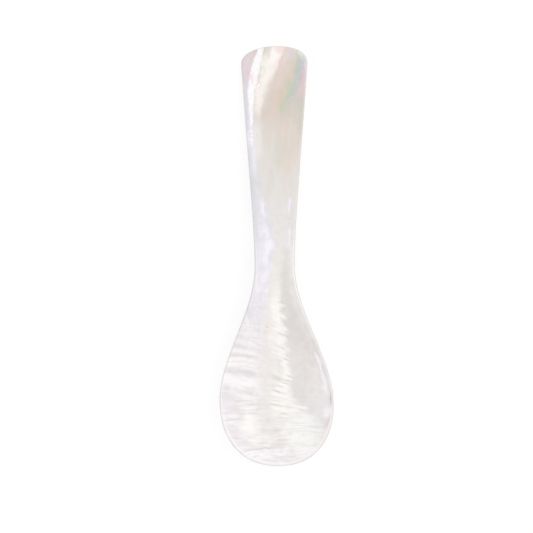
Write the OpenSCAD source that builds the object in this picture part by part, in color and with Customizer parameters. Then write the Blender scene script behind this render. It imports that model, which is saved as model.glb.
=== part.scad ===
// Caviar spoon, carved from one piece of pearl shell.
// The tip of the bowl points along -Y, the handle runs along +Y, and +Z is up.
// It lies as it rests, on the belly of the bowl and the underside of the handle's end.

/* [Bowl] */
// Length from the tip of the bowl to the narrowest place of the neck
bowl_l = 54.3; // [46:0.1:64]
// Width of the bowl at its widest
bowl_w = 31.2; // [22:0.1:40]
// Distance from the tip to the widest and deepest place of the bowl
widest_from_tip = 17.6; // [12:0.1:22]
// Fullness of the rounded tip: 2 is an ellipse, more is squarer
tip_fullness = 2.25; // [1.8:0.05:3]
// How far the sides run on straight below the widest place
side_run = 11.4; // [4:0.1:14]
// Depth of the hollow under the lip
hollow_depth = 5; // [2:0.1:7]
// Roundness of the hollow: 2 is a parabola, more has a flatter floor
hollow_roundness = 2.3; // [1.8:0.1:3.5]
// Thickness of the shell under the deepest place
floor_t = 1.8; // [1:0.1:3]
// Thickness of the rounded lip round the bowl
lip_t = 1.1; // [0.8:0.1:1.6]

/* [Neck] */
// Width of the neck
neck_w = 10.96; // [8:0.02:16]
// Thickness of the neck along its middle
neck_t = 3.2; // [2.6:0.1:5]
// Height of the neck's underside over the table
neck_rise = 4; // [2:0.1:9]
// How far the bowl's sides run in before they turn into the neck
neck_run = 11.8; // [4:0.1:14]

/* [Handle] */
// Length from the narrowest place of the neck to the end
handle_l = 60.7; // [50:0.1:80]
// Width of the handle where its rounded end begins
end_w = 18.25; // [14:0.05:24]
// Thickness of the handle along its middle at the end
end_t = 2.5; // [2:0.1:4]
// Thickness of the rounded edge round the neck and handle
edge_t = 2.2; // [1.4:0.1:2.6]
// How far the rounding of that edge reaches in from the outline
edge_round = 0.5; // [0.3:0.05:1.1]
// Hollow along the top of the handle
dish = 0.35; // [0.1:0.05:0.8]
// Length of the rounded end
end_l = 5.24; // [3:0.02:9]
// Fullness of the rounded end
end_fullness = 2.16; // [1.8:0.02:3]
// How fast the handle still widens at its end, in millimetres of half width for each millimetre
end_flare = 0.072; // [0:0.002:0.1]
// How far the flare runs back from the end as a straight line
flare_run = 38; // [10:1:40]
// How far the neck runs on before the flare begins
waist_run = 10; // [4:1:18]

/* [Hand work] */
// How far the tip of the bowl leans to the right of the handle's middle line
tip_lean = 1.05; // [0:0.05:2]
// Length over which the lean fades out
lean_l = 80; // [60:1:100]
// How far the rounded end is cut over to the right
end_lean = 0.85; // [0:0.05:1.5]

/* [Fineness] */
// Steps round each half of the tip
tip_steps = 20; // [8:1:24]
// Steps along each side of the bowl
side_steps = 22; // [8:1:26]
// Steps along each side of the handle
handle_steps = 14; // [6:1:20]
// Steps round each half of the end
end_steps = 14; // [6:1:18]
// Steps across the rounded edge
edge_steps = 8; // [4:1:10]
// Steps from the edge to the middle line
face_steps = 8; // [4:1:10]

/* [Hidden] */

// Stations along the middle line, measured from the tip
neck_at = bowl_l;
end_at = bowl_l + handle_l;
shoulder_at = end_at - end_l;

// Places in the list of outline points
n_side = tip_steps;
n_end = tip_steps + side_steps + handle_steps;
n_half = n_end + end_steps;
n_loop = 2 * n_half;
n_spine = n_end - n_side + 1;

function mix(a, b, t) = a + (b - a) * t;
function part_way(a, b, s) = min(max((s - a) / (b - a), 0), 1);
function ease(t) = t * t * (3 - 2 * t);
function bezier(p, t) =
    pow(1 - t, 3) * p[0] + 3 * t * pow(1 - t, 2) * p[1] + 3 * t * t * (1 - t) * p[2] + pow(t, 3) * p[3];

// Half of the outline from the tip to the end, as [distance from the tip, half width]

side_curve = [
    [widest_from_tip, bowl_w / 2],
    [widest_from_tip + side_run, bowl_w / 2],
    [neck_at - neck_run, neck_w / 2],
    [neck_at, neck_w / 2]
];
handle_curve = [
    [neck_at, neck_w / 2],
    [neck_at + waist_run, neck_w / 2],
    [shoulder_at - flare_run, end_w / 2 - end_flare * flare_run],
    [shoulder_at, end_w / 2]
];
function tip_point(a) = [
    widest_from_tip * (1 - pow(cos(a), 2 / tip_fullness)),
    bowl_w / 2 * pow(sin(a), 2 / tip_fullness)
];
function end_point(a) = let (u = end_l * pow(sin(a), 2 / end_fullness)) [
    shoulder_at + u,
    (end_w / 2 + end_flare * u) * pow(cos(a), 2 / end_fullness)
];
half_outline = [
    for (i = [0:tip_steps]) tip_point(90 * i / tip_steps),
    for (i = [1:side_steps]) bezier(side_curve, i / side_steps),
    for (i = [1:handle_steps]) bezier(handle_curve, i / handle_steps),
    for (i = [1:end_steps]) end_point(90 * i / end_steps)
];

// Middle line: it leans at the bowl and at the end, and the box round the spoon is centred

function lean(s) =
    tip_lean * pow(1 - part_way(0, lean_l, s), 2) + end_lean * pow(part_way(shoulder_at, end_at, s), 2);
function middle(s) = [lean(s) - lean(widest_from_tip), s - end_at / 2];

// Heights over the table along the middle line and along the edge

function under_z(s) =
    s < neck_at
        ? neck_rise * ease(part_way(widest_from_tip, neck_at, s))
        : neck_rise * (1 - ease(part_way(neck_at, shoulder_at, s)));
function thickness(s) =
    s < neck_at
        ? mix(floor_t, neck_t, ease(part_way(widest_from_tip, neck_at, s)))
        : mix(neck_t, end_t, ease(part_way(neck_at, shoulder_at, s)));
function top_z(s) = under_z(s) + thickness(s);
function edge_top_z(s) =
    s < neck_at
        ? mix(floor_t + hollow_depth, neck_rise + neck_t + dish, ease(part_way(widest_from_tip, neck_at, s)))
        : top_z(s) + dish;
function past_bowl(s) = ease(part_way(widest_from_tip + side_run, neck_at, s));
function edge_half_t(s) = mix(lip_t, edge_t, past_bowl(s)) / 2;
function edge_reach(s) = mix(lip_t / 2, edge_round, past_bowl(s));

// The outline as a closed loop, with the way inwards at each of its points

function half_index(j) = j <= n_half ? j : n_loop - j;
function station(j) = half_outline[half_index(j)][0];
function spine_index(j) = min(max(half_index(j), n_side), n_end);
loop = [
    for (j = [0:n_loop - 1])
        middle(station(j)) + [(j <= n_half ? 1 : -1) * half_outline[half_index(j)][1], 0]
];
function inwards(j) = let (d = loop[(j + 1) % n_loop] - loop[(j + n_loop - 1) % n_loop]) [-d.y, d.x] / norm(d);

// One section, from the middle of the underside round the edge to the middle of the top

function raised(p, z) = [p.x, p.y, z];
function face_point(from, to, v) =
    raised(mix(from, to, v), to.z + (from.z - to.z) * pow(1 - v, hollow_roundness));
function wall_angle(rise, run, squash) = atan(squash * hollow_roundness * rise / run);
function section(j) =
    let (
        s = station(j),
        spine_s = half_outline[spine_index(j)][0],
        spine = middle(spine_s),
        half_t = edge_half_t(s),
        reach = edge_reach(s),
        run = norm(loop[j] - spine) - reach,
        edge_z = edge_top_z(s) - half_t,
        low_a = -90 + wall_angle(edge_z - half_t - under_z(spine_s), run, reach / half_t),
        high_a = 90 + wall_angle(edge_z + half_t - top_z(spine_s), run, reach / half_t),
        edge = [
            for (k = [0:edge_steps])
                let (a = mix(low_a, high_a, k / edge_steps))
                    raised(loop[j] + inwards(j) * reach * (1 - cos(a)), edge_z + half_t * sin(a))
        ],
        low_spine = raised(spine, under_z(spine_s)),
        high_spine = raised(spine, top_z(spine_s))
    )
    [
        for (k = [face_steps - 1:-1:1]) face_point(edge[0], low_spine, k / face_steps),
        each edge,
        for (k = [1:face_steps - 1]) face_point(edge[edge_steps], high_spine, k / face_steps)
    ];

// The skin: every section joined to the next, and closed along the middle line above and below

n_ring = edge_steps + 2 * face_steps - 1;
low_first = n_loop * n_ring;
high_first = low_first + n_spine;
sections = [for (j = [0:n_loop - 1]) section(j)];
skin_points = [
    for (s = sections) each s,
    for (i = [n_side:n_end]) raised(middle(half_outline[i][0]), under_z(half_outline[i][0])),
    for (i = [n_side:n_end]) raised(middle(half_outline[i][0]), top_z(half_outline[i][0]))
];
function at(j, ring) = (j % n_loop) * n_ring + ring;
function spine_at(first, j) = first + spine_index(j % n_loop) - n_side;
skin_faces = [
    for (j = [0:n_loop - 1], ring = [0:n_ring - 2])
        each [
            [at(j, ring), at(j, ring + 1), at(j + 1, ring + 1)],
            [at(j, ring), at(j + 1, ring + 1), at(j + 1, ring)]
        ],
    for (j = [0:n_loop - 1])
        each [
            [at(j, 0), at(j + 1, 0), spine_at(low_first, j)],
            [at(j + 1, n_ring - 1), at(j, n_ring - 1), spine_at(high_first, j)]
        ],
    for (j = [0:n_loop - 1])
        if (spine_index(j) != spine_index((j + 1) % n_loop))
            each [
                [spine_at(low_first, j), at(j + 1, 0), spine_at(low_first, j + 1)],
                [at(j + 1, n_ring - 1), spine_at(high_first, j), spine_at(high_first, j + 1)]
            ]
];

module spoon() {
    color([0.93, 0.9, 0.88])
        polyhedron(points = skin_points, faces = skin_faces, convexity = 6);
}

spoon();
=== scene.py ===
import math

import bpy
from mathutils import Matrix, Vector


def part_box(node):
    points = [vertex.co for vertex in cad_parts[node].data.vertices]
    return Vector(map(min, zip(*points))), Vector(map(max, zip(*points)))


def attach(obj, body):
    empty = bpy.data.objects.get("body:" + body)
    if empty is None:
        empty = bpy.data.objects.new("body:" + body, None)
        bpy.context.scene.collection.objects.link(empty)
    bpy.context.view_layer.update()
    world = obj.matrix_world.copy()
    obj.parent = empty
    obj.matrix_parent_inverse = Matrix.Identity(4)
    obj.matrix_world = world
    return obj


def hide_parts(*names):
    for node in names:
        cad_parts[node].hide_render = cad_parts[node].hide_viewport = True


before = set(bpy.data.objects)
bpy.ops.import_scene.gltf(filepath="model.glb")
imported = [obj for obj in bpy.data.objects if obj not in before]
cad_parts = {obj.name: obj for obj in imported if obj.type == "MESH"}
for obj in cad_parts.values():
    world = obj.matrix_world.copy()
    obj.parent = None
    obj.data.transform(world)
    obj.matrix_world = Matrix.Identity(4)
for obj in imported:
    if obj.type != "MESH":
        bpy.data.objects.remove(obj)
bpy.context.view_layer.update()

# The spoon
# One piece of pearl shell, sawn out of the flat of the shell and ground to shape on a wheel.
# Its outline is a few smooth curves, and every section runs from the middle of the underside
# past a rounded edge to the middle of the hollow top face.

MM = 0.001


class Wire:
    """A value in a node tree. Arithmetic on it adds Math nodes, and node() adds any other node."""

    def __init__(self, tree, socket):
        self.tree = tree
        self.socket = socket

    def node(self, kind, settings=None, inputs=None, output=0):
        made = self.tree.nodes.new(kind)
        for name, value in (settings or {}).items():
            if name == "stops":
                made.color_ramp.interpolation = "CARDINAL"
                ramp = made.color_ramp.elements
                while len(ramp) < len(value):
                    ramp.new(1.0)
                for element, (place, colour) in zip(ramp, value):
                    element.position = place
                    element.color = colour
            else:
                setattr(made, name, value)
        for key, value in (inputs or {}).items():
            if isinstance(value, Wire):
                self.tree.links.new(value.socket, made.inputs[key])
            else:
                made.inputs[key].default_value = value
        return Wire(self.tree, made.outputs[output])

    def math(self, operation, *others):
        inputs = dict(enumerate((self, *others)))
        return self.node("ShaderNodeMath", {"operation": operation}, inputs)

    def __add__(self, other):
        return self.math("ADD", other)

    def __sub__(self, other):
        return self.math("SUBTRACT", other)

    def __mul__(self, other):
        return self.math("MULTIPLY", other)

    def __truediv__(self, other):
        return self.math("DIVIDE", other)

    def __pow__(self, other):
        return self.math("POWER", other)

    def __radd__(self, other):
        return self.math("ADD", other)

    def __rsub__(self, other):
        return self.node("ShaderNodeMath", {"operation": "SUBTRACT"}, {0: other, 1: self})

    def __rmul__(self, other):
        return self.math("MULTIPLY", other)

    def __rtruediv__(self, other):
        return self.node("ShaderNodeMath", {"operation": "DIVIDE"}, {0: other, 1: self})

    def least(self, other):
        return self.math("MINIMUM", other)

    def most(self, other):
        return self.math("MAXIMUM", other)

    def ease(self, start, stop):
        """0 before start, 1 after stop, and a smooth rise between them. start may be the higher."""
        inputs = {"Value": self, "From Min": start, "From Max": stop}
        return self.node("ShaderNodeMapRange", {"interpolation_type": "SMOOTHSTEP"}, inputs)


low_corner, high_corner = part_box("spoon")
spoon_l = high_corner.y - low_corner.y
bowl_w = high_corner.x - low_corner.x

# Outline, in metres from the tip of the bowl
neck_at = 54.3 * MM
widest_at = 17.6 * MM
end_l = 5.24 * MM
shoulder_at = spoon_l - end_l
neck_w = 10.96 * MM
end_w = 18.25 * MM
tip_fullness = 2.25
end_fullness = 2.16
side_run = 11.4 * MM
neck_run = 11.8 * MM
waist_run = 10 * MM
flare_run = 38 * MM
end_flare = 0.072
tip_lean = 1.05 * MM
lean_l = 80 * MM
end_lean = 0.85 * MM

# Heights and thicknesses
floor_t = 1.8 * MM
hollow_depth = 5 * MM
hollow_roundness = 2.3
neck_rise = 4 * MM
neck_t = 3.2 * MM
end_t = 2.5 * MM
lip_t = 1.1 * MM
edge_t = 2.2 * MM
edge_round = 0.5 * MM
dish = 0.35 * MM

# Steps of the mesh: round half of the outline, across the edge and across each face
tip_steps, side_steps, handle_steps, end_steps = 60, 66, 44, 40
edge_steps, face_steps = 20, 44
half_steps = tip_steps + side_steps + handle_steps + end_steps
columns = 2 * half_steps + 1
rows = 2 * face_steps + edge_steps + 1


def bezier_rise(points, t):
    """How far a cubic curve through four control values has moved from its first value."""
    a, b, c, d = points
    u = 1.0 - t
    return 3 * (b - a) * t * u * u + 3 * (c - a) * t * t * u + (d - a) * t * t * t


def outline(step):
    """Distance from the tip and half width, after that many steps from the tip round to the end."""
    tip = (step / tip_steps).least(1.0)
    side = ((step - tip_steps) / side_steps).most(0.0).least(1.0)
    handle = ((step - (tip_steps + side_steps)) / handle_steps).most(0.0).least(1.0)
    end = ((step - (half_steps - end_steps)) / end_steps).most(0.0)

    tip_angle = tip * (math.pi / 2)
    tip_s = widest_at * (1.0 - tip_angle.math("COSINE") ** (2 / tip_fullness))
    tip_w = bowl_w / 2 * tip_angle.math("SINE") ** (2 / tip_fullness)
    side_s = bezier_rise((widest_at, widest_at + side_run, neck_at - neck_run, neck_at), side)
    side_w = bezier_rise((bowl_w / 2, bowl_w / 2, neck_w / 2, neck_w / 2), side)
    flare_w = end_w / 2 - end_flare * flare_run
    handle_s = bezier_rise((neck_at, neck_at + waist_run, shoulder_at - flare_run, shoulder_at), handle)
    handle_w = bezier_rise((neck_w / 2, neck_w / 2, flare_w, end_w / 2), handle)
    end_angle = end * (math.pi / 2)
    end_s = end_l * end_angle.math("SINE") ** (2 / end_fullness)
    end_round = end_angle.math("COSINE") ** (2 / end_fullness)
    end_drop = (end_w / 2 + end_flare * end_s) * end_round - end_w / 2
    return tip_s + side_s + handle_s + end_s, tip_w + side_w + handle_w + end_drop


def middle_x(s):
    """The middle line leans a little to the right at the bowl and at the end."""
    faded = (1.0 - s / lean_l).most(0.0)
    at_widest = tip_lean * (1 - widest_at / lean_l) ** 2
    end = ((s - shoulder_at) / end_l).most(0.0)
    return tip_lean * faded * faded + end_lean * end * end - at_widest


def under_z(s):
    return neck_rise * (s.ease(widest_at, neck_at) - s.ease(neck_at, shoulder_at))


def top_z(s):
    thickness = (
        floor_t
        + (neck_t - floor_t) * s.ease(widest_at, neck_at)
        + (end_t - neck_t) * s.ease(neck_at, shoulder_at)
    )
    return under_z(s) + thickness


def edge_top_z(s):
    bowl_z = floor_t + hollow_depth
    neck_z = neck_rise + neck_t + dish
    return (
        bowl_z
        + (neck_z - bowl_z) * s.ease(widest_at, neck_at)
        + (end_t - neck_t - neck_rise) * s.ease(neck_at, shoulder_at)
    )


def spoon_tree(material):
    """Bends a flat grid into the spoon.

    Each section is a column of the grid, and each step across a section is a row.
    """
    tree = bpy.data.node_groups.new("spoon_form", "GeometryNodeTree")
    tree.interface.new_socket("Geometry", in_out="OUTPUT", socket_type="NodeSocketGeometry")
    wave = tree.interface.new_socket("Polish wave", in_out="INPUT", socket_type="NodeSocketFloat")
    wave_size = tree.interface.new_socket("Polish wave size", in_out="INPUT", socket_type="NodeSocketFloat")
    given = tree.nodes.new("NodeGroupInput")
    polish_wave = Wire(tree, given.outputs[0])
    polish_size = Wire(tree, given.outputs[1])

    index = Wire(tree, tree.nodes.new("GeometryNodeInputIndex").outputs[0])
    column = (index / rows).math("FLOOR")
    row = index - column * rows
    step = column.least((columns - 1) - column)
    on_right = column.math("LESS_THAN", half_steps + 0.5)
    s, half_w = outline(step)
    spine_s = s.most(widest_at).least(shoulder_at)

    # Every section starts as one point of the outline
    flat = index.node(
        "GeometryNodeMeshGrid",
        inputs={"Size X": 1.0, "Size Y": 1.0, "Vertices X": columns, "Vertices Y": rows},
    )
    outline_x = middle_x(s) + half_w * (2.0 * on_right - 1.0)
    outline_y = s - spoon_l / 2
    outline_point = index.node("ShaderNodeCombineXYZ", inputs={0: outline_x, 1: outline_y})
    drawn = index.node("GeometryNodeSetPosition", inputs={"Geometry": flat, "Position": outline_point})

    # The way inwards from the outline, square to the line between the sections on each side
    loop = (columns - 1) * rows
    here = index.node("GeometryNodeInputPosition")

    def neighbour(offset):
        other = (index + (offset + loop)).math("FLOORED_MODULO", loop)
        whole = other.node("FunctionNodeFloatToInt", {"rounding_mode": "ROUND"}, {0: other})
        return here.node(
            "GeometryNodeFieldAtIndex", {"data_type": "FLOAT_VECTOR"}, {"Index": whole, "Value": here}
        )

    along = here.node(
        "ShaderNodeVectorMath", {"operation": "SUBTRACT"}, {0: neighbour(rows), 1: neighbour(-rows)}
    )
    along = here.node("ShaderNodeVectorMath", {"operation": "NORMALIZE"}, {0: along})
    along_x = here.node("ShaderNodeSeparateXYZ", inputs={0: along}, output=0)
    along_y = here.node("ShaderNodeSeparateXYZ", inputs={0: along}, output=1)
    here_x = here.node("ShaderNodeSeparateXYZ", inputs={0: here}, output=0)
    here_y = here.node("ShaderNodeSeparateXYZ", inputs={0: here}, output=1)

    # The rounded edge: part of an ellipse, which starts and stops at the slope of the walls
    spine_x = middle_x(spine_s)
    spine_y = spine_s - spoon_l / 2
    past_bowl = s.ease(widest_at + side_run, neck_at)
    half_t = lip_t / 2 + (edge_t - lip_t) / 2 * past_bowl
    reach = lip_t / 2 + (edge_round - lip_t / 2) * past_bowl
    edge_z = edge_top_z(s) - half_t
    run = ((here_x - spine_x) ** 2.0 + (here_y - spine_y) ** 2.0).math("SQRT") - reach
    squash = hollow_roundness * reach / half_t
    low_wall = (squash * (edge_z - half_t - under_z(spine_s)) / run).math("ARCTANGENT")
    high_wall = (squash * (edge_z + half_t - top_z(spine_s)) / run).math("ARCTANGENT")
    turn = ((row - face_steps) / edge_steps).most(0.0).least(1.0)
    angle = low_wall - math.pi / 2 + turn * (high_wall - low_wall + math.pi)
    inset = reach * (1.0 - angle.math("COSINE"))
    arc_x = here_x - inset * along_y
    arc_y = here_y + inset * along_x
    arc_z = edge_z + half_t * angle.math("SINE")

    # The faces: from the edge down or up to the middle line
    on_top = row.math("GREATER_THAN", face_steps + edge_steps / 2)
    way_low = (1.0 - row / face_steps).most(0.0)
    way_high = ((row - (face_steps + edge_steps)) / face_steps).most(0.0)
    way = way_low.most(way_high)
    spine_z = under_z(spine_s) + on_top * (top_z(spine_s) - under_z(spine_s))
    face_x = arc_x + (spine_x - arc_x) * way
    face_y = arc_y + (spine_y - arc_y) * way
    face_z = spine_z + (arc_z - spine_z) * (1.0 - way) ** hollow_roundness

    # Hand polishing leaves a soft wave in the top face, which fades out at the edge
    layer = 0.05
    place = here.node("ShaderNodeCombineXYZ", inputs={0: face_x, 1: face_y, 2: on_top * layer})
    noise = here.node(
        "ShaderNodeTexNoise",
        {"noise_dimensions": "3D"},
        {"Vector": place, "Scale": 1.0 / polish_size, "Detail": 1.0},
    )
    lift = (noise - 0.5) * polish_wave * way.ease(0.0, 0.5) * on_top
    final_point = here.node("ShaderNodeCombineXYZ", inputs={0: face_x, 1: face_y, 2: face_z + lift})
    inward = ((face_x - here_x) ** 2.0 + (face_y - here_y) ** 2.0).math("SQRT")

    # Marks for the material, taken before the points move
    marked = drawn.node(
        "GeometryNodeStoreNamedAttribute",
        {"data_type": "FLOAT", "domain": "POINT"},
        {"Geometry": drawn, "Name": "from_edge", "Value": inward},
    )
    marked = marked.node(
        "GeometryNodeStoreNamedAttribute",
        {"data_type": "FLOAT", "domain": "POINT"},
        {"Geometry": marked, "Name": "top_side", "Value": turn},
    )
    formed = marked.node("GeometryNodeSetPosition", inputs={"Geometry": marked, "Position": final_point})
    closed = formed.node("GeometryNodeMergeByDistance", inputs={"Geometry": formed, "Distance": 1e-6})
    smooth = closed.node("GeometryNodeSetShadeSmooth", inputs={"Geometry": closed})
    real = smooth.node("GeometryNodeRealizeInstances", inputs={"Geometry": smooth})
    finished = real.node("GeometryNodeSetMaterial", inputs={"Geometry": real, "Material": material})
    output = tree.nodes.new("NodeGroupOutput")
    tree.links.new(finished.socket, output.inputs[0])
    return tree, {wave.identifier: 0.08 * MM, wave_size.identifier: 14 * MM}


# The shell's own colours, with painted highlights and painted shade among them
# Mother-of-pearl is white with grey, cream and lilac in it, and it flashes pink, green and blue
# where its layers are cut at a slant. Places are in millimetres on the face, as seen from above.

pearl_shell = bpy.data.materials.new("pearl_shell")
pearl_shell.use_nodes = True
shell_tree = pearl_shell.node_tree


def shade(hexes):
    """A colour from its usual hex form, as the shader takes it."""
    parts = [int(hexes[i : i + 2], 16) / 255 for i in (0, 2, 4)]
    return (*(c / 12.92 if c <= 0.04045 else ((c + 0.055) / 1.055) ** 2.4 for c in parts), 1.0)


def lay(below, above, mask):
    """Lays a colour over what is below it, as much as the mask says."""
    above = shade(above) if isinstance(above, str) else above
    return mask.node("ShaderNodeMix", {"data_type": "RGBA"}, {0: mask, 6: below, 7: above}, output=2)


def path(way, points):
    """A value that runs smoothly through (place, value) points, in rising order of place."""
    first, last = points[0][0], points[-1][0]
    low, high = min(value for _, value in points), max(value for _, value in points)
    stops = [((p - first) / (last - first), (((v - low) / (high - low)),) * 3 + (1.0,)) for p, v in points]
    share = way.node("ShaderNodeValToRGB", {"stops": stops}, {0: (way - first) / (last - first)})
    return low + share * (high - low)


def band(off, half, soft):
    """1 within half of the middle, and softly down to 0 over the distance after that."""
    return off.math("ABSOLUTE").ease(half + soft, half)


def between(way, low, high, soft):
    """1 between low and high, with soft ends that reach inwards."""
    return way.ease(low, low + soft) * way.ease(high, high - soft)


def silk(x, y, length, width, seed, detail=2.0):
    """Noise from 0 to 1 in strokes of that length along x and that width along y."""
    seed_step = 7.3
    place = x.node("ShaderNodeCombineXYZ", inputs={0: x / length, 1: y / width, 2: seed_step * seed})
    noise = x.node("ShaderNodeTexNoise", inputs={"Vector": place, "Scale": 1.0, "Detail": detail})
    return noise.ease(0.25, 0.75)


place = Wire(shell_tree, shell_tree.nodes.new("ShaderNodeTexCoord").outputs["Object"])
across = place.node("ShaderNodeSeparateXYZ", inputs={0: place}, output=0) / MM
along = place.node("ShaderNodeSeparateXYZ", inputs={0: place}, output=1) / MM
from_edge = place.node("ShaderNodeAttribute", {"attribute_name": "from_edge"}, output=2) / MM
top_side = place.node("ShaderNodeAttribute", {"attribute_name": "top_side"}, output=2).ease(0.4, 0.7)

# Slow and quick wander, so that no band has a ruled edge
slow = silk(across, along, 5, 7, seed=1) - 0.5
quick = silk(across, along, 1.4, 2.2, seed=2, detail=3.0) - 0.5
x = across + slow * 0.9 + quick * 0.3
y = along + slow * 2.0 + quick * 1.2

# Ground colours down the middle, from the tip of the bowl to the end of the handle
ground = shade("F8F5F6")
for hexes, start, stop in (
    ("F2EDE9", -56, -49),
    ("E9E5E2", -8, 6),
    ("E3DED7", 8, 26),
    ("E0D9D1", 25, 33),
    ("DCCFC3", 33, 38.5),
):
    ground = lay(ground, hexes, y.ease(start, stop))

# Lilac-white down the left side
left_line = path(
    along,
    [(-50, -9), (-34, -6.4), (-20, -4.6), (-8, -2.9), (6, -1.6), (16, -3.6), (30, -5.9), (57, -6.3)],
)
left = (x - left_line).ease(0.9, -0.9)
ground = lay(ground, "E4E2E7", left * 0.9)
ground = lay(ground, "DCDADB", left * between(y, 12, 28, 6) * 0.6)
ground = lay(ground, "EAE6EC", left * y.ease(9, -2))
ground = lay(ground, "F5F2F2", (x + 4.6).ease(2.5, -3.5) * y.ease(-14, -21))

# Growth lines: nearly level on the left of the bowl, bent down to the right of its middle
tilt = path(along, [(-50, 0.0), (-40, 0.04), (-31, 0.14), (-18, 0.1)])
bend = path(along, [(-52, -0.1), (-46, 0.05), (-41, 0.26), (-36, 0.32), (-22, 0.3), (-8, 0.4)])
wander = silk(across, along, 16, 5, seed=21, detail=0.0) - 0.5
grown = along + tilt * across + bend * (across + 1.8).most(0.0) + wander * 1.5 + quick * 0.12
in_bowl = along.ease(-10, -22)
jag = (silk(across * 0.2, grown, 1.0, 1.5, seed=3, detail=0.0) - 0.5) * along.ease(-7, -14)
fan_line = path(
    along,
    [(-50, 12), (-44.5, 9.8), (-42, 7.0), (-39.6, 5.0), (-36.5, 3.9), (-28, 3.4)]
    + [(-22, 2.5), (-18.5, 2.3), (-14, 1.5), (-3, 1.2)],
)
from_fan = x + jag * path(along, [(-42, 3.0), (-34, 1.4)]) - fan_line
# Right of the fan the shell turns taupe. The darker grey there is partly its own colour and partly painted
# shade on the right wall of the hollow, which faces away from the light.
right = from_fan.ease(-1.6, 1.0) * along.ease(4, -4)
ground = lay(ground, lay(shade("EAE6E2"), "E1DDD8", along.ease(-31, -16)), right)
ground = lay(ground, "F1EEED", right * (x - 9.5).ease(-3.0, 2.0) * along.ease(-24, -36))
# A painted highlight along the right edge, where the rounded edge faces the light
ground = lay(ground, "F1EEEC", right * from_edge.ease(3.5, 1.0) * between(along, -28, -4, 8) * 0.7)

coarse = silk(x, grown, 9, 1.5, seed=4, detail=1.0)
fine = silk(x, grown, 5, 0.5, seed=5, detail=3.0)
lines = (coarse - 0.5) * 0.6 + (fine - 0.5) * 0.8
calm = band(x + 3.0, 0.6, 2.6) * along.ease(-50, -45)
drawn_lines = in_bowl * (1.0 - right * 0.9) * (1.0 - calm * 0.75)
line_light = lay(shade("FCFAFF"), "FFFFFA", across.ease(-12, -8))
ground = lay(ground, line_light, lines.most(0.0) * drawn_lines * 1.3)
ground = lay(ground, "D3D0CA", (lines * -1.0).most(0.0) * drawn_lines * 0.85)

# Upright lilac folds at the root of the bowl, on the left
fold = silk(x, y, 1.0, 6.0, seed=19) - 0.5
in_folds = left * between(along, -24, 2, 9)
ground = lay(ground, "FAF8FA", fold.most(0.0) * in_folds * 1.4)
ground = lay(ground, "DCD5DF", (fold * -1.0).most(0.0) * in_folds)

# Bands on the left of the bowl, where the growth stopped and began again
step = along + 0.16 * (across + 9.0) + wander * 0.6 + quick * 0.3
in_bands = (across + quick * 1.6).ease(-3.2, -7.2)
for middle, half, hexes, share in (
    (-22.7, 0.1, "DCDADA", 0.4),
    (-25.1, 0.1, "D9D6D6", 0.55),
    (-26.2, 0.2, "FDFCFE", 0.5),
    (-27.6, 0.2, "D7D5D2", 0.5),
    (-29.6, 0.8, "FFFDFB", 0.7),
    (-32.1, 0.1, "D9D6D5", 0.5),
    (-34.4, 0.7, "FFFEFF", 0.75),
    (-37.4, 0.2, "DFDCDB", 0.6),
):
    ground = lay(ground, hexes, band(step - middle, half, 0.9) * in_bands * share * (0.4 + fine))

# The bright fan of strokes right of the middle, each with a dark line under it
fan_start = path(
    along, [(-50, 2.0), (-46, -0.6), (-38, -1.4), (-34, 0.9), (-29.5, 0.6), (-27, -1.3), (-10, -1.4)]
)
fan = (1.0 - right) * (x - fan_start).ease(-0.8, 1.8) * between(along, -49, -8, 6)
ripple = (grown * (2 * math.pi / 1.45)).math("SINE")
dash = silk(across, grown, 3.6, 1.0, seed=6, detail=0.5)
tips = between(from_fan, -2.8, 0.4, 0.9) * along.ease(-46, -38)
cluster = silk(x, grown, 5.0, 4.0, seed=20)
ground = lay(ground, "FCF8F4", fan * along.ease(-12, -20) * 0.7)
stroke_light = ripple.ease(-0.4, 0.8) * dash.ease(0.1, 0.6) * along.ease(-53, -40)
ground = lay(ground, "FFFFFC", fan * stroke_light * 1.3)
stroke_dark = ripple.ease(-0.5, -1.0) * dash.ease(0.9, 0.4) * cluster.ease(0.1, 0.6)
ground = lay(ground, "CFC7C0", fan * stroke_dark * along.ease(-52, -38) * 0.8)
ground = lay(ground, "FFFFFC", fan * tips * dash.ease(0.2, 0.6) * 0.9)
ground = lay(ground, "FFFBF7", band(x + 0.2, 0.5, 1.6) * between(along, -21, -9, 4) * 0.7)


def patch(off_x, off_y, reach_x, reach_y):
    """1 in the middle of an oval place, and softly down to 0 at its rim."""
    off_x, off_y = off_x / reach_x, off_y / reach_y
    return (off_x * off_x + off_y * off_y).ease(1.0, 0.0)
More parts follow.
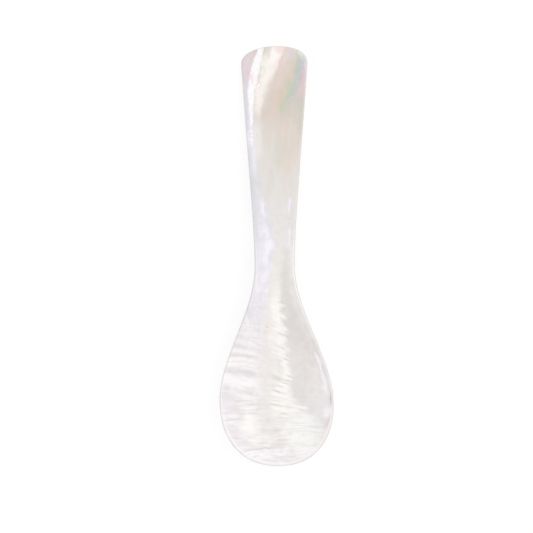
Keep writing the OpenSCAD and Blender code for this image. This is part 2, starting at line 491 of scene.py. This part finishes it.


# Light and dark clouds in the bowl, broken up by the growth lines. A few white ones near the right rim, at
# the tip and at the end of the neck are painted highlights.
broken = silk(x, grown, 5.0, 0.8, seed=23)
cloud_x = x + (broken - 0.5) * 0.4
cloud_y = along + (broken - 0.5) * 0.3
for centre_x, centre_y, reach_x, reach_y, hexes, share in (
    (-11.2, -44.5, 3.3, 7.0, "DCD9D8", 0.75),
    (-14.4, -41.0, 1.8, 5.0, "E4DFE9", 0.45),
    (-3.5, -44.0, 3.5, 4.0, "E4DFDB", 0.5),
    (-7.8, -46.8, 3.8, 3.6, "FFFDF9", 0.65),
    (-4.0, -51.0, 4.5, 2.2, "FFFDFA", 0.9),
    (6.0, -46.5, 4.5, 4.5, "FFFEFA", 1.0),
    (7.5, -50.3, 6.0, 3.2, "FFFEFC", 1.0),
    (5.2, -46.8, 5.0, 4.0, "FFFDF9", 0.6),
    (3.0, -48.6, 2.5, 2.0, "FFFDFA", 0.8),
    (8.5, -51.2, 5.5, 2.8, "FFFDFB", 0.7),
    # a painted highlight on the inner wall near the right rim
    (13.3, -42.9, 1.5, 2.8, "FFFBFE", 0.7),
    (11.3, -30.0, 1.5, 4.0, "F6F2F0", 0.7),
    (-10.8, -36.3, 2.6, 1.6, "FCF9F8", 0.9),
    (-6.8, -23.8, 3.4, 4.0, "FAF7FA", 0.7),
    (7.5, -45.0, 2.4, 4.5, "FDFAFF", 0.5),
    (11.0, -46.0, 2.8, 4.5, "EAE6EB", 0.6),
    # a painted highlight on the inner wall near the right rim
    (13.6, -36.4, 1.3, 2.2, "FDFDFF", 0.9),
    (3.2, -39.8, 2.8, 4.0, "FFFCF8", 0.6),
    (-0.8, -24.5, 2.0, 6.0, "FBF7F3", 0.7),
    (-11.0, -50.1, 3.8, 2.5, "D8D3D9", 0.5),
    # a painted highlight at the tip
    (-4.2, -54.6, 4.0, 1.8, "FFFEFF", 0.7),
    (7.3, -48.8, 3.4, 2.0, "FFFFFF", 0.8),
    (0.9, -19.1, 2.0, 1.6, "FFFCF9", 0.7),
    # a painted glint at the end of the neck
    (-3.2, -9.2, 1.5, 2.0, "FFFEFF", 0.9),
):
    spot = patch(cloud_x - centre_x, cloud_y - centre_y, reach_x, reach_y)
    ground = lay(ground, hexes, spot * (0.2 + 0.8 * broken.ease(0.1, 0.8)) * share)

# Fine white strokes low on the right of the bowl
low_right = patch(across - 7.2, along + 48.0, 7.0, 5.5)
ground = lay(ground, "FFFFFB", low_right * fine.ease(0.3, 0.65) * 1.2)
ground = lay(ground, "DDD7D8", low_right * fine.ease(0.4, 0.1) * 0.35)

# Near the tip: a dark wavy line with a white band under it
wave = along + 52.9 - path(across, [(-10, -0.9), (-6, 0.0), (0, 0.2), (8, 0.9)]) + quick * 0.5
ground = lay(ground, "FFFDFD", wave.ease(0.1, -0.3) * wave.ease(-4.0, -1.5) * (0.6 + fine * 0.4))
ground = lay(ground, "D6D0D8", band(wave, 0.0, 0.5) * (0.2 + 0.4 * (across + slow * 6.0).ease(3.0, -5.0)))

tip_grain = silk(across, wave, 2.2, 0.6, seed=24, detail=3.0) - 0.5
in_tip = wave.ease(0.0, -1.0)
ground = lay(ground, "FFFEFB", tip_grain.most(0.0) * in_tip * 1.2)
ground = lay(ground, "DDD3DA", (tip_grain * -1.0).most(0.0) * in_tip)
# A painted highlight inside the rim, low on the right
ground = lay(ground, "FFFEFF", patch(cloud_x - 8.4, cloud_y + 53.5, 3.2, 1.5) * 0.75)

# White and lilac streaks inside the lip on the right, each from its near to its far depth. The two
# are kept a hair apart, because path() divides by what is between them. The white streaks are
# painted reflections where the inner wall catches the light, and the brown-grey one just inside
# the lip is painted shade.
apart = 1e-6
for near, far, half, low, high, hexes, share in (
    (1.9, 1.6, 0.15, -38.5, -26.0, "FFFCFE", 1.0),
    (0.7, 0.5, 0.05, -39.5, -22.0, "DAD3CE", 0.45),
    (2.1, 2.5, 0.1, -34.5, -25.5, "D8D2DE", 0.25),
    (0.5, 0.5, 0.1, -41.8, -36.5, "C2B8BC", 0.7),
    (2.1, 1.3, 0.5, -45.0, -40.8, "FFFDFF", 0.9),
    (1.2, 1.2, 0.2, -48.0, -43.5, "DDD5D1", 0.5),
):
    depth = path(along, [(low, near), (high, far + apart)])
    streak = band(from_edge + quick * 0.5 - depth, half, 0.6) * between(along, low, high, 1.8)
    ground = lay(ground, hexes, streak * across.ease(2, 6) * share)

# White and lilac patch on the left of the neck, with a ragged end. The glints and the sheen in it are
# painted highlights.
neck_line = path(
    along,
    [(-20, -3.6), (-8, -2.6), (-3, -2.1), (0, -1.7), (1.5, -1.0)]
    + [(4.5, -1.0), (6, -1.6), (10, -3.0), (17, -2.8)],
)
ragged = silk(across, along, 0.7, 2.4, seed=26, detail=1.0) - 0.5
neck_off = x + quick * 0.6 + ragged * between(along, 1, 13, 4) * 1.6 - neck_line
neck_patch = neck_off.ease(0.4, -0.5) * along.ease(19, 14) * along.ease(-22, -6)
sheen = silk(x, y, 1.1, 2.4, seed=7)
ground = lay(ground, "EBE6EF", neck_patch * neck_off.ease(-4.2, -2.4) * 0.8)
ground = lay(ground, "F6F3FA", neck_patch * sheen.ease(0.2, 0.9) * neck_off.ease(-3.6, -1.4) * 0.75)
ground = lay(ground, "F1F1F9", neck_patch * ragged.ease(0.0, 0.4) * 0.35)
ground = lay(ground, "F5EAF1", neck_patch * ragged.ease(0.0, -0.4) * 0.3)
for place_x, place_y, reach_x, reach_y, share in (
    (-4.0, 12.9, 1.4, 2.4, 0.8),
    (-2.1, 2.4, 1.2, 3.0, 0.8),
    (-2.9, -1.4, 1.0, 1.4, 0.5),
):
    glint = patch(x - place_x, along - place_y, reach_x, reach_y)
    ground = lay(ground, "F9F9FF", glint * neck_off.ease(0.4, -0.2) * share)
# Down the right of the neck: lilac streaks, each with a thin painted highlight line beside it
for low, high in ((1.2, 8.4), (10.0, 16.8)):
    streak = between(along, low, high, 2.5)
    ground = lay(ground, "EAE6EC", band(x - 3.1, 0.3, 1.2) * streak * 0.7)
    ground = lay(ground, "F8F5FA", band(x - 3.3, 0.05, 0.5) * streak * 0.8)

# Pale and grey lines along the edges of the neck and the handle. The pale line on the right of the neck and
# the lilac-white one down the left of the handle are painted highlights, and the grey ones on the left
# edges are painted shade.
near_edge = from_edge.ease(2.4, 0.6)
ground = lay(ground, "F5F2F0", near_edge * across.ease(0, 3) * between(along, -9, 4, 4) * 0.7)
ground = lay(ground, "E6E2EA", near_edge * across.ease(-3, -5) * between(along, -17, -6, 4) * 0.6)
left_edge_shade = from_edge.ease(3.8, 1.6) * across.ease(-2, -4)
ground = lay(ground, "DDDCE1", left_edge_shade * between(along, 6, 22, 5) * 0.6)
ground = lay(ground, "F2F3FA", band(across + 6.4, 0.3, 1.0) * between(along, 19, 36, 5) * 0.55)
ground = lay(ground, "EFEBE6", band(across + 5.2, 0.5, 1.4) * between(along, 25, 38, 4) * 0.7)

# Clouds of peach, green and tan in the handle, with a fine grain along the slanting layers
cloud = silk(x, y, 3.2, 7.0, seed=10)
on_handle = y.ease(4, 24)
in_handle = on_handle * (1.0 - left)
ground = lay(ground, "E1D3C6", patch(x - 2.8, y - 31.5, 4.0, 9.5) * (0.5 + 0.5 * cloud))
ground = lay(ground, "D3CDC1", patch(x - 7.2, y - 37.0, 2.8, 8.0) * 0.8)
ground = lay(ground, "D9D5C8", patch(x - 0.6, y - 28.0, 2.5, 6.0) * 0.7)
ground = lay(ground, "E7D5CA", cloud.ease(0.5, 1.0) * in_handle * (x - 1.0).ease(-2.5, 3.5) * 0.5)
ground = lay(ground, "D8D7CA", cloud.ease(0.4, 0.0) * in_handle * 0.5)
slant = across - path(along, [(30, 0), (44, 1.2), (57, 4.6)])
grain = silk(slant, along, 0.9, 5, seed=12) * in_handle
grain = grain + silk(x, y, 1.6, 1.6, seed=15, detail=3.0) * (1.0 - in_handle)
grain_share = 0.28 - 0.12 * in_handle
ground = lay(ground, "FFFDF8", (grain - 0.5).most(0.0) * grain_share)
ground = lay(ground, "CDC5C8", (0.5 - grain).most(0.0) * grain_share)

# The cream band, pink at its top right, with rose-brown beside it
cream_side = path(
    along,
    [(32, -4.9), (37, -4.3), (42.5, -3.5), (44.7, -2.5), (47, -1.5), (50.7, 0.0), (54, 1.2), (57, 2.3)],
)
cream_width = path(along, [(32, 1.2), (42.5, 2.4), (47, 4.0), (57, 4.2)])
into_cream = cream_side - (across + quick * 0.7)
streaks = silk(slant, along, 0.8, 4, seed=16)
cream_soft = path(along, [(36, 1.4), (46, 2.4), (53, 0.6)])
cream = (into_cream / cream_soft).ease(-0.4, 1.0) * (cream_width - into_cream).ease(-0.6, 1.4)
cream = cream * y.ease(32, 43)
beside = lay(shade("E3D2CA"), "ECDED9", y.ease(51, 55))
ground = lay(ground, beside, band(into_cream + 1.8, 0.3, 2.2) * y.ease(42, 50) * 0.7)
ground = lay(ground, "FFFAF6", cream * (0.7 + 0.3 * streaks).most(y.ease(48, 54)))
ground = lay(ground, "FBE7E4", cream * into_cream.ease(1.8, 0.0) * y.ease(47, 54) * 0.7)

# The silver streak down the left of the handle, a painted highlight with beads of painted highlight in it,
# and flecks and thin lines of the shell's colour along it. The grey near the left edge beside it is painted
# shade.
rose = silk(slant, along, 1.6, 3, seed=17)
ground = lay(ground, "E0CCCE", (x + 5.2).ease(0.8, -2.2) * y.ease(45, 51) * (0.6 + 0.4 * rose))
ground = lay(ground, "DFDBD4", patch(x + 7.3, y - 53.4, 1.3, 2.4) * 0.7)
ground = lay(ground, "E3DFE2", from_edge.ease(2.0, 0.6) * across.ease(-4, -6) * between(y, 28, 50, 6) * 0.7)
streak_line = path(
    along,
    [(29, -7.2), (38.5, -7.2), (42.5, -7.0), (46, -6.8), (49.4, -6.2), (53, -5.4), (57, -4.4)],
)
off = across + quick * 0.6 - streak_line
beside_streak = off - 1.9
flecks = silk(slant, along, 0.6, 1.0, seed=18, detail=3.0)
ground = lay(ground, "FBF4EE", band(beside_streak, 0.6, 0.9) * between(y, 37, 51, 6) * 0.8)
ground = lay(ground, "E6E1D6", band(beside_streak, 0.2, 0.8) * y.ease(49, 54) * (0.3 + 0.6 * flecks))
ground = lay(ground, "FBF5EC", band(across + 3.4, 0.5, 1.1) * between(y, 46, 57, 3) * 0.85)
fleck_line = band(beside_streak, 0.2, 0.9)
ground = lay(ground, "FFFEF8", fleck_line * between(y, 43, 54, 3) * flecks.ease(0.4, 0.1) * 0.8)
ground = lay(ground, "DDE3C8", fleck_line * between(y, 43, 55, 3) * flecks.ease(0.5, 0.8) * 0.6)
highlight_beads = silk(x, along, 0.8, 0.7, seed=8, detail=3.0)
silver_highlight = band(off, path(along, [(40, 0.3), (52, 0.7), (57, 0.3)]), 0.7) * along.ease(28.5, 31)
ground = lay(ground, lay(shade("F1EFF8"), "F9F8FB", along.ease(34, 41)), silver_highlight)
ground = lay(ground, "FFFEFF", silver_highlight * highlight_beads.ease(path(along, [(34, 0.45), (48, 0.0)]), 0.8))
silver_highlight_side = off - path(along, [(36, 0.95), (44, 1.05), (50, 1.45), (57, 1.5)])
orange_line = band(silver_highlight_side, 0.0, 0.45) * between(along, 36, 54, 4)
ground = lay(ground, "F6D3BE", orange_line * flecks.ease(0.25, 0.7) * 0.5)
pink_flecks = rose.ease(0.5, 0.9) * (x + 6.2).ease(0.6, -0.6)
ground = lay(ground, "EDC6CE", pink_flecks * between(y, 46, 55, 4) * 0.6)

# The flash on the right, one colour beside the next as the layers slant
flash_line = path(
    along,
    [(39, 0.8), (42.5, 2.6), (44.7, 3.8), (47.4, 4.8), (51, 5.7), (54, 6.4), (57, 7.0)],
)
sway = silk(slant, along, 1.1, 4.0, seed=22) - 0.5
flash_width = 9.0
flash = (across + slow * 1.0 + sway * 1.8 - flash_line) / flash_width + 0.5
flash_hexes = (
    (0.08, "E1D4CB"),
    (0.25, "DDCDBE"),
    (0.35, "D6CDB9"),
    (0.44, "C9CBB9"),
    (0.53, "C1C9BF"),
    (0.62, "CBC9C6"),
    (0.71, "D6C5C8"),
    (0.9, "E4D3D4"),
)
layers = flash.node("ShaderNodeValToRGB", {"stops": [(p, shade(h)) for p, h in flash_hexes]}, {0: flash})
layers = lay(layers, "BEC2D2", band(flash - 0.62, 0.02, 0.09) * between(y, 48.5, 55, 2.5) * 0.8)
layers = lay(layers, "D9BFC8", band(flash - 0.7, 0.03, 0.1) * between(y, 45, 51, 2.5) * 0.6)
layers = lay(layers, "CFCABE", flash.ease(0.5, 0.8) * y.ease(47, 41))
flash_share = silk(x, y, 2.5, 2.5, seed=14).ease(-0.4, 0.5) * flash.ease(0.05, 0.35) * y.ease(36, 43)
ground = lay(ground, layers, flash_share)

# Spots of rose, tan, green and blue towards the end of the handle, with the grain in their outlines
spot_x = across + (grain - 0.5) * 0.3
spot_y = along + (grain - 0.5) * 0.3
for place_x, place_y, reach_x, reach_y, hexes, share in (
    (1.0, 56.8, 2.2, 1.8, "F0D8D6", 0.6),
    (4.3, 55.3, 2.2, 2.8, "E2D8DB", 0.6),
    (6.1, 49.6, 1.2, 2.0, "BBBCCE", 0.4),
    (1.0, 44.3, 1.6, 2.4, "D9C6B2", 0.5),
    (-0.6, 43.5, 1.6, 3.0, "E0C8BE", 0.5),
    (1.7, 41.6, 1.6, 3.4, "CFCDB0", 0.55),
    (7.1, 49.0, 1.1, 2.0, "D8B4C0", 0.4),
    (7.4, 44.5, 1.0, 3.6, "DEC6BF", 0.6),
):
    ground = lay(ground, hexes, patch(spot_x - place_x, spot_y - place_y, reach_x, reach_y) * share)
ground = lay(ground, "EBD2D5", from_edge.ease(1.6, 0.4) * across.ease(0, 5) * between(y, 46, 55, 4) * 0.5)
ground = lay(ground, "E9EADF", from_edge.ease(2.2, 0.4) * (across + y * 0.5).ease(32, 34) * grain)

# An orange-brown speck at the root of the bowl, with a pink line above it
ground = lay(ground, "FBE9E4", patch(across + 1.4, along + 17.7, 0.6, 1.8) * (0.5 + quick))
ground = lay(ground, "EBDDCD", patch(across + 2.7, along + 19.6, 0.8, 0.5))
ground = lay(ground, "F9ECE6", patch(across + 2.3, along + 20.3, 1.2, 0.4) * 0.7)

# The lip: a pale line inside a thin grey one. The pale line is a painted highlight where the rounded lip
# catches the light, the grey one is painted shade on its steep outer side, and on the left a further line
# of painted shade lies inside the lip.
lip_in = path(along, [(-4, 1.0), (12, 0.0)]) * across.ease(-8, -4).most(along.ease(-28, -36))
low_rim = along.ease(-42, -48) * across.ease(-30, 4)
lip_highlight_colour = lay(shade("FCF9FB"), lay(shade("F6F1EC"), "FCF8F2", low_rim), across.ease(0, 4))
neck_right = across.ease(1, 4) * between(along, -16, 10, 6)
lip_highlight_colour = lay(lip_highlight_colour, "FEFAF6", neck_right)
lip_highlight_line = band(from_edge - 0.45 - low_rim * 0.3, 0.05, 0.25 + low_rim * 0.4)
ground = lay(ground, lip_highlight_colour, lip_highlight_line * lip_in * 0.7)
lip_shade_colour = lay(shade("DBDAD7"), "E2C9C3", along.ease(55.5, 56.5) * band(across + 0.5, 1.5, 2.0))
lip_shade_colour = lay(lip_shade_colour, "D9D6C8", neck_right)
left_shade_side = across.ease(-2.5, -4.0) * between(along, 0, 54, 6)
shade_line_off = from_edge - 0.22 * across.ease(0, 6) * along.ease(-12, -24)
ground = lay(ground, lip_shade_colour, shade_line_off.ease(0.35, 0.1) * (0.8 - 0.7 * left_shade_side))
ground = lay(ground, "D3D0DA", band(from_edge - 0.85, 0.1, 0.55) * left_shade_side * 0.38)

# The underside is plain: lilac-white and cream in wide clouds, with the growth lines and the grain
wide = silk(across + along * 0.2, along, 13, 26, seed=27, detail=0.5)
under = lay(shade("EAE6EE"), "F4EEE7", wide)
under = lay(under, "E6EBE6", band(wide - 0.55, 0.02, 0.12) * 0.5)
under = lay(under, "F2E3E4", band(wide - 0.8, 0.02, 0.12) * 0.4)
for strokes, share in ((lines, 1.0 - on_handle), (silk(slant, along, 1.0, 7, seed=28) - 0.5, on_handle)):
    under = lay(under, "FEFBFC", strokes.most(0.0) * share)
    under = lay(under, "D7D1D6", (strokes * -1.0).most(0.0) * share * 0.7)
shell_colour = lay(under, ground, top_side)

polish = shell_tree.nodes["Principled BSDF"]
shell_tree.links.new(shell_colour.socket, polish.inputs["Base Color"])
# The polish is a little duller along the darker growth lines, which lie a hair lower
relief = lines * (1.0 - on_handle) + (grain - 0.5) * on_handle
roughness = 0.3 - relief * 0.12
shell_tree.links.new(roughness.socket, polish.inputs["Roughness"])
bump = relief.node("ShaderNodeBump", inputs={"Strength": 0.4, "Distance": 0.02 * MM, "Height": relief})
shell_tree.links.new(bump.socket, polish.inputs["Normal"])

# A thin film over the shell looks neutral from straight above, and rose and lilac at a slant
polish.inputs["Thin Film Thickness"].default_value = 527.0
polish.inputs["Thin Film IOR"].default_value = 1.61
polish.inputs["IOR"].default_value = 1.55
polish.inputs["Coat Weight"].default_value = 0.4
polish.inputs["Coat Roughness"].default_value = 0.08
polish.inputs["Coat IOR"].default_value = 1.5

# The spoon is formed once on a holder, and the mesh that comes out of it is kept
holder = bpy.data.objects.new("spoon_holder", bpy.data.meshes.new("spoon_holder"))
bpy.context.scene.collection.objects.link(holder)
form = holder.modifiers.new("form", "NODES")
form.node_group, sizes = spoon_tree(pearl_shell)
for identifier, size in sizes.items():
    form[identifier] = size
evaluated = holder.evaluated_get(bpy.context.evaluated_depsgraph_get())
spoon_mesh = bpy.data.meshes.new_from_object(evaluated)
bpy.data.objects.remove(holder)
spoon = bpy.data.objects.new("pearl_spoon", spoon_mesh)
bpy.context.scene.collection.objects.link(spoon)
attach(spoon, "root")
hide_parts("spoon")

# The backdrop, the light and the camera
# A white sheet under the spoon, soft light from the right and above, and the eye straight above.

sheet_mesh = bpy.data.meshes.new("white_sheet")
sheet_half = 1.5
sheet_gap = 0.05 * MM
sheet_mesh.from_pydata(
    [(x * sheet_half, y * sheet_half, -sheet_gap) for x, y in ((-1, -1), (1, -1), (1, 1), (-1, 1))],
    [],
    [(0, 1, 2, 3)],
)
sheet = bpy.data.objects.new("white_sheet", sheet_mesh)
bpy.context.scene.collection.objects.link(sheet)

white_paper = bpy.data.materials.new("white_paper")
white_paper.use_nodes = True
sheet_mesh.materials.append(white_paper)


def seen(tree):
    """1 for the eye and for what polish and glass show, 0 for light on its way to a surface."""
    rays = tree.nodes.new("ShaderNodeLightPath")
    camera_ray, glossy_ray, through_ray = (
        Wire(tree, rays.outputs[name]) for name in ("Is Camera Ray", "Is Glossy Ray", "Is Transmission Ray")
    )
    return camera_ray.most(glossy_ray).most(through_ray)


paper_tree = white_paper.node_tree
paper = paper_tree.nodes["Principled BSDF"]
paper.inputs["Roughness"].default_value = 1.0
paper.inputs["Specular IOR Level"].default_value = 0.0
paper.inputs["Emission Strength"].default_value = 1.0
looked_at = seen(paper_tree)
for name, grey_unseen, grey_seen in (("Base Color", 0.8, 0.25), ("Emission Color", 0.0, 0.79)):
    tone = looked_at.node(
        "ShaderNodeMix",
        {"data_type": "RGBA"},
        {0: looked_at, 6: (grey_unseen,) * 3 + (1.0,), 7: (grey_seen,) * 3 + (1.0,)},
        output=2,
    )
    paper_tree.links.new(tone.socket, paper.inputs[name])

world = bpy.data.worlds.new("soft_room")
world.use_nodes = True
bpy.context.scene.world = world
room_tree = world.node_tree
room_tree.nodes["Background"].inputs["Strength"].default_value = 0.9
room_tree.nodes["Background"].inputs["Color"].default_value = (1.0, 1.0, 1.0, 1.0)
room_light = Wire(room_tree, room_tree.nodes["Background"].outputs[0])
room_seen = room_light.node("ShaderNodeBackground", inputs={0: (1.0, 1.0, 1.0, 1.0), 1: 1.0})
room = room_light.node("ShaderNodeMixShader", inputs={0: seen(room_tree), 1: room_light, 2: room_seen})
room_tree.links.new(room.socket, room_tree.nodes["World Output"].inputs["Surface"])

lamp = bpy.data.lights.new("window", "AREA")
lamp.shape = "RECTANGLE"
lamp.size = 0.8
lamp.size_y = 0.8
lamp.energy = 1.2
window = bpy.data.objects.new("window", lamp)
window.location = (0.6, 0.15, 0.6)
window.rotation_euler = (math.radians(-10), math.radians(45), 0)
bpy.context.scene.collection.objects.link(window)

# The photo's width, and the spoon's length and middle in it, in pixels
photo_px = 533
spoon_px = 420.05
middle_x_px, middle_y_px = 276.65, 255.25
px = 115 * MM / spoon_px
eye = bpy.data.cameras.new("eye")
eye.lens = 135
eye.sensor_width = 36
camera = bpy.data.objects.new("eye", eye)
frame_width = photo_px * px
mean_z = 4 * MM
distance = frame_width * eye.lens / eye.sensor_width
camera.location = (
    (photo_px / 2 - middle_x_px) * px,
    (middle_y_px - photo_px / 2) * px,
    mean_z + distance,
)
bpy.context.scene.collection.objects.link(camera)
bpy.context.scene.camera = camera

bpy.context.scene.view_settings.view_transform = "Standard"
